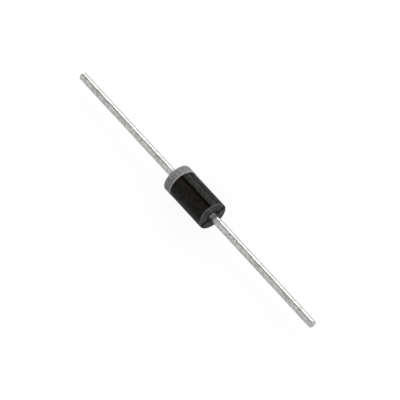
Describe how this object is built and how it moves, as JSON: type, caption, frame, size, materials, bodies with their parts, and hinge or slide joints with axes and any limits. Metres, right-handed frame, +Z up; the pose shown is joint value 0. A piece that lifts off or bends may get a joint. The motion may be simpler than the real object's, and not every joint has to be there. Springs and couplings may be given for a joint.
{
  "type": "axial rectifier diode",
  "caption": "Axial-lead power rectifier diode: round black moulded body with a silver-grey cathode band and long straight tinned wire leads.",
  "frame": {"origin": "middle of the moulded body, on the axis of the leads", "axes": "+X along the axis to the anode lead, so the cathode band is at -X; the mould parting plane is XY; +Z up as the diode lies on its side"},
  "size_m": [0.0604, 0.005, 0.005],
  "materials": {
    "epoxy": "satin black moulded epoxy",
    "band_ink": "silver-grey printed ink",
    "tinned_wire": "satin tin plate on copper wire",
    "silicon": "diced silicon",
    "solder": "reflowed solder",
    "silicone": "cured silicone coating"
  },
  "bodies": {
    "root": {"moulded_body": "epoxy", "cathode_band": "band_ink", "cathode_lead": "tinned_wire", "anode_lead": "tinned_wire", "silicon_die": "silicon", "cathode_solder": "solder", "anode_solder": "solder", "junction_coating": "silicone"}
  },
  "joints": []
}
